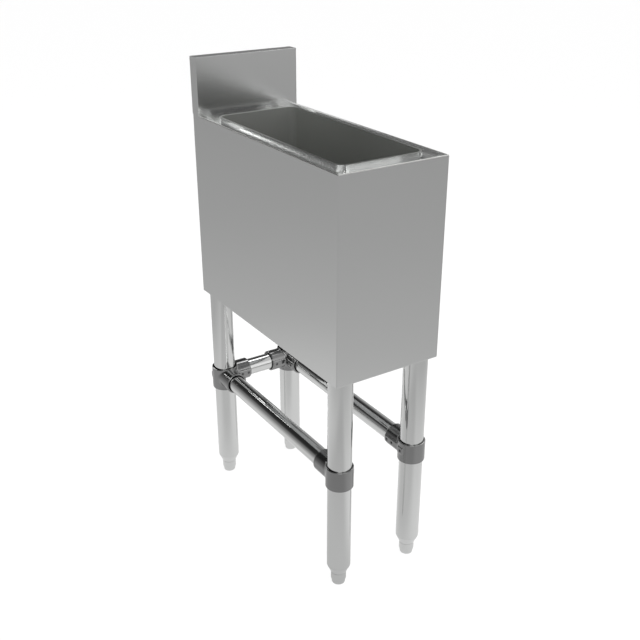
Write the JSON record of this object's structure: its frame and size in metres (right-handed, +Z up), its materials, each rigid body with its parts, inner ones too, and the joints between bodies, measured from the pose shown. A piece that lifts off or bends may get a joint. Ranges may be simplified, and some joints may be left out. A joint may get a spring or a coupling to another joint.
{
  "type": "underbar ice bin",
  "caption": "Narrow underbar ice bin: an insulated steel well in a box cabinet with a backsplash and a drain, on braced tube legs with adjustable bullet feet.",
  "frame": {"origin": "on the floor, under the centre of the bin's overall box", "axes": "+X to the user's right, +Y towards the wall, +Z up"},
  "size_m": [0.205, 0.473, 0.866],
  "materials": {
    "satin_steel": "satin brushed stainless sheet",
    "deck_steel": "satin stainless sheet",
    "liner_steel": "satin stainless liner, polished rim",
    "zinc_steel": "zinc plated",
    "foam": "rigid foam",
    "rubber": "matt rubber",
    "drain_metal": "nickel plated",
    "leg_tube": "polished stainless tube",
    "brace_tube": "bright polished tube",
    "cast_fitting": "ground casting",
    "screw_steel": "bright",
    "foot_steel": "turned stainless"
  },
  "bodies": {
    "bin": {"cabinet_skin": "satin_steel", "back_panel": "satin_steel", "back_screws": "screw_steel", "backsplash": "satin_steel", "backsplash_cap_left": "satin_steel", "backsplash_cap_right": "satin_steel", "top_deck": "deck_steel", "well_liner": "liner_steel", "base_panel": "zinc_steel", "base_channel_left": "zinc_steel", "base_channel_right": "zinc_steel", "channel_rivets": "zinc_steel", "foam_left": "foam", "foam_right": "foam", "foam_front": "foam", "foam_rear": "foam", "foam_floor": "foam", "drain_body": "drain_metal", "drain_crossbar": "drain_metal", "drain_gasket": "rubber", "drain_locknut": "drain_metal", "drain_strainer": "drain_metal", "strainer_screw": "screw_steel", "drain_tailpiece": "drain_metal", "drain_grommet": "rubber", "leg_socket_front_left": "zinc_steel", "leg_socket_front_right": "zinc_steel", "leg_socket_rear_left": "zinc_steel", "leg_socket_rear_right": "zinc_steel", "socket_bolts": "zinc_steel", "socket_nuts": "zinc_steel", "socket_set_screws": "screw_steel", "leg_front_left": "leg_tube", "leg_front_right": "leg_tube", "leg_rear_left": "leg_tube", "leg_rear_right": "leg_tube", "brace_tee_left": "cast_fitting", "brace_tee_right": "cast_fitting", "brace_corner_left": "cast_fitting", "brace_corner_right": "cast_fitting", "side_brace_left": "brace_tube", "side_brace_right": "brace_tube", "rear_brace": "brace_tube", "brace_set_screws": "screw_steel", "foot_insert_front_left": "foot_steel", "foot_insert_front_right": "foot_steel", "foot_insert_rear_left": "foot_steel", "foot_insert_rear_right": "foot_steel"},
    "foot_front_left": {"bullet_foot_front_left": "foot_steel", "foot_stud_front_left": "zinc_steel"},
    "foot_front_right": {"bullet_foot_front_right": "foot_steel", "foot_stud_front_right": "zinc_steel"},
    "foot_rear_left": {"bullet_foot_rear_left": "foot_steel", "foot_stud_rear_left": "zinc_steel"},
    "foot_rear_right": {"bullet_foot_rear_right": "foot_steel", "foot_stud_rear_right": "zinc_steel"}
  },
  "joints": [
    {"name": "foot_screw_front_left", "type": "slide", "parent": "bin", "child": "foot_front_left", "axis": [0, 0, -1], "range_m": [0, 0.025]},
    {"name": "foot_screw_front_right", "type": "slide", "parent": "bin", "child": "foot_front_right", "axis": [0, 0, -1], "range_m": [0, 0.025]},
    {"name": "foot_screw_rear_left", "type": "slide", "parent": "bin", "child": "foot_rear_left", "axis": [0, 0, -1], "range_m": [0, 0.025]},
    {"name": "foot_screw_rear_right", "type": "slide", "parent": "bin", "child": "foot_rear_right", "axis": [0, 0, -1], "range_m": [0, 0.025]}
  ]
}
